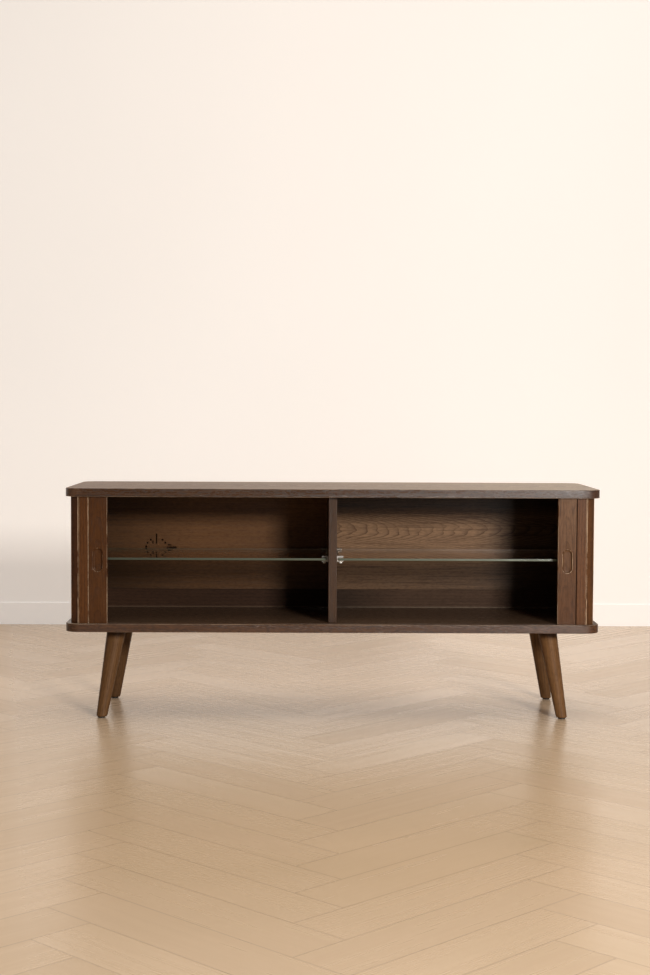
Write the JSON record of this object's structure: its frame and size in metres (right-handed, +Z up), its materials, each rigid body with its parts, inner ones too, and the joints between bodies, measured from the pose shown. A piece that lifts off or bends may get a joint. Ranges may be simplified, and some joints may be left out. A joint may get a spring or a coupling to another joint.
{
  "type": "low media console",
  "caption": "Low console on splayed round legs with two open bays, clamped glass shelves and sliding tambour doors.",
  "frame": {"origin": "centre of the footprint, on the floor", "axes": "+X to the right seen from the front, -Y out of the front, +Z up"},
  "size_m": [1.4, 0.4, 0.61],
  "materials": {
    "board_wood": "dark walnut stain on open-grained oak, satin",
    "tambour_wood": "dark walnut stain, satin, slats with small bevels",
    "leg_wood": "dark walnut stain, turned, satin",
    "back_ply": "stained veneered plywood, matt",
    "shelf_glass": "clear float glass with a green edge",
    "clip_metal": "bright plated",
    "plate_steel": "black coated",
    "bolt_steel": "zinc plated",
    "pad_nylon": "matt black"
  },
  "bodies": {
    "carcase": {"bottom_board": "board_wood", "centre_divider": "board_wood", "front_left_leg": "leg_wood", "front_left_leg_bolt": "bolt_steel", "front_left_leg_pad": "pad_nylon", "front_left_leg_plate": "plate_steel", "front_right_leg": "leg_wood", "front_right_leg_bolt": "bolt_steel", "front_right_leg_pad": "pad_nylon", "front_right_leg_plate": "plate_steel", "left_back_panel": "back_ply", "left_back_rail": "board_wood", "left_glass_shelf": "shelf_glass", "left_inner_front_clip": "clip_metal", "left_inner_front_clip_screw": "clip_metal", "left_inner_rear_clip": "clip_metal", "left_inner_rear_clip_screw": "clip_metal", "left_outer_front_clip": "clip_metal", "left_outer_front_clip_screw": "clip_metal", "left_outer_rear_clip": "clip_metal", "left_outer_rear_clip_screw": "clip_metal", "left_side_panel": "board_wood", "left_tambour_side": "tambour_wood", "left_tambour_tail": "tambour_wood", "rear_left_leg": "leg_wood", "rear_left_leg_bolt": "bolt_steel", "rear_left_leg_pad": "pad_nylon", "rear_left_leg_plate": "plate_steel", "rear_right_leg": "leg_wood", "rear_right_leg_bolt": "bolt_steel", "rear_right_leg_pad": "pad_nylon", "rear_right_leg_plate": "plate_steel", "right_back_panel": "back_ply", "right_back_rail": "board_wood", "right_glass_shelf": "shelf_glass", "right_inner_front_clip": "clip_metal", "right_inner_front_clip_screw": "clip_metal", "right_inner_rear_clip": "clip_metal", "right_inner_rear_clip_screw": "clip_metal", "right_outer_front_clip": "clip_metal", "right_outer_front_clip_screw": "clip_metal", "right_outer_rear_clip": "clip_metal", "right_outer_rear_clip_screw": "clip_metal", "right_side_panel": "board_wood", "right_tambour_side": "tambour_wood", "right_tambour_tail": "tambour_wood", "top_board": "board_wood"},
    "left_door": {"left_door_slat": "tambour_wood", "left_door_stile": "tambour_wood"},
    "right_door": {"right_door_slat": "tambour_wood", "right_door_stile": "tambour_wood"}
  },
  "joints": [
    {"name": "left_door_slide", "type": "slide", "parent": "carcase", "child": "left_door", "axis": [1, 0, 0], "range_m": [0, 0.5888]},
    {"name": "right_door_slide", "type": "slide", "parent": "carcase", "child": "right_door", "axis": [-1, 0, 0], "range_m": [0, 0.5888]}
  ]
}
